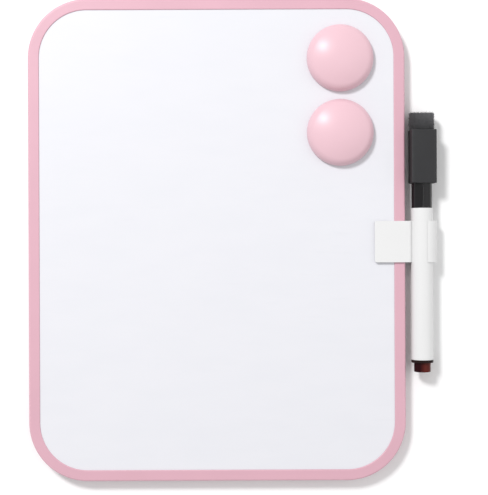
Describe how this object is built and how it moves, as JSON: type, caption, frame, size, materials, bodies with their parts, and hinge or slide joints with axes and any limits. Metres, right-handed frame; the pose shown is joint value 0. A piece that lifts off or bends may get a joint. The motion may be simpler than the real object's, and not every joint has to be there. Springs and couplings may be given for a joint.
{
  "type": "magnetic whiteboard",
  "caption": "Framed magnetic dry-erase board with dome magnets and a capped marker in a sliding side clip; hangs on steel by magnet strips behind.",
  "frame": {"origin": "middle of the board, on the rear face of the middle hanging strip, which is the plane the board rests or hangs on", "axes": "+X to the right of the writing face, +Y to its top edge, +Z out of the writing face"},
  "size_m": [0.2361, 0.279, 0.019],
  "materials": {
    "frame_pink": "satin moulded",
    "sheet_white": "gloss dry-erase lacquer on steel",
    "core_brown": "raw hardboard",
    "back_grey": "matt liner",
    "strip_magnet": "matt flexible magnet",
    "tape_foam": "closed-cell foam",
    "dome_pink": "high gloss moulded",
    "ferrite_grey": "ground ferrite",
    "clip_white": "satin moulded",
    "barrel_white": "satin gloss",
    "plug_maroon": "gloss",
    "holder_black": "satin moulded",
    "nib_fibre": "pressed fibre with ink",
    "reservoir_fibre": "fibre bundle with ink",
    "cap_black": "gloss moulded",
    "felt_grey": "pressed wool felt"
  },
  "bodies": {
    "board": {"frame": "frame_pink", "writing_sheet": "sheet_white", "core_board": "core_brown", "back_sheet": "back_grey", "rear_strip_upper": "strip_magnet", "rear_strip_middle": "strip_magnet", "rear_strip_lower": "strip_magnet", "strip_tape_upper": "tape_foam", "strip_tape_middle": "tape_foam", "strip_tape_lower": "tape_foam"},
    "upper_magnet": {"upper_magnet_dome": "dome_pink", "upper_magnet_disc": "ferrite_grey"},
    "lower_magnet": {"lower_magnet_dome": "dome_pink", "lower_magnet_disc": "ferrite_grey"},
    "clip": {"marker_clip": "clip_white"},
    "marker": {"marker_barrel": "barrel_white", "barrel_end_plug": "plug_maroon", "nib_holder": "holder_black", "felt_nib": "nib_fibre", "ink_reservoir": "reservoir_fibre"},
    "cap": {"marker_cap": "cap_black", "cap_magnet": "ferrite_grey", "eraser_felt": "felt_grey"}
  },
  "joints": [
    {"name": "upper_magnet_slide", "type": "slide", "parent": "board", "child": "upper_magnet", "axis": [1, 0, 0], "range_m": [-0.15, 0]},
    {"name": "lower_magnet_lift", "type": "slide", "parent": "board", "child": "lower_magnet", "axis": [0, 0, 1], "range_m": [0, 0.05]},
    {"name": "clip_slide", "type": "slide", "parent": "board", "child": "clip", "axis": [0, 1, 0], "range_m": [-0.09, 0.09]},
    {"name": "marker_slide", "type": "slide", "parent": "clip", "child": "marker", "axis": [0, 1, 0], "range_m": [-0.02, 0.09]},
    {"name": "cap_pull", "type": "slide", "parent": "marker", "child": "cap", "axis": [0, 1, 0], "range_m": [0, 0.045]}
  ]
}
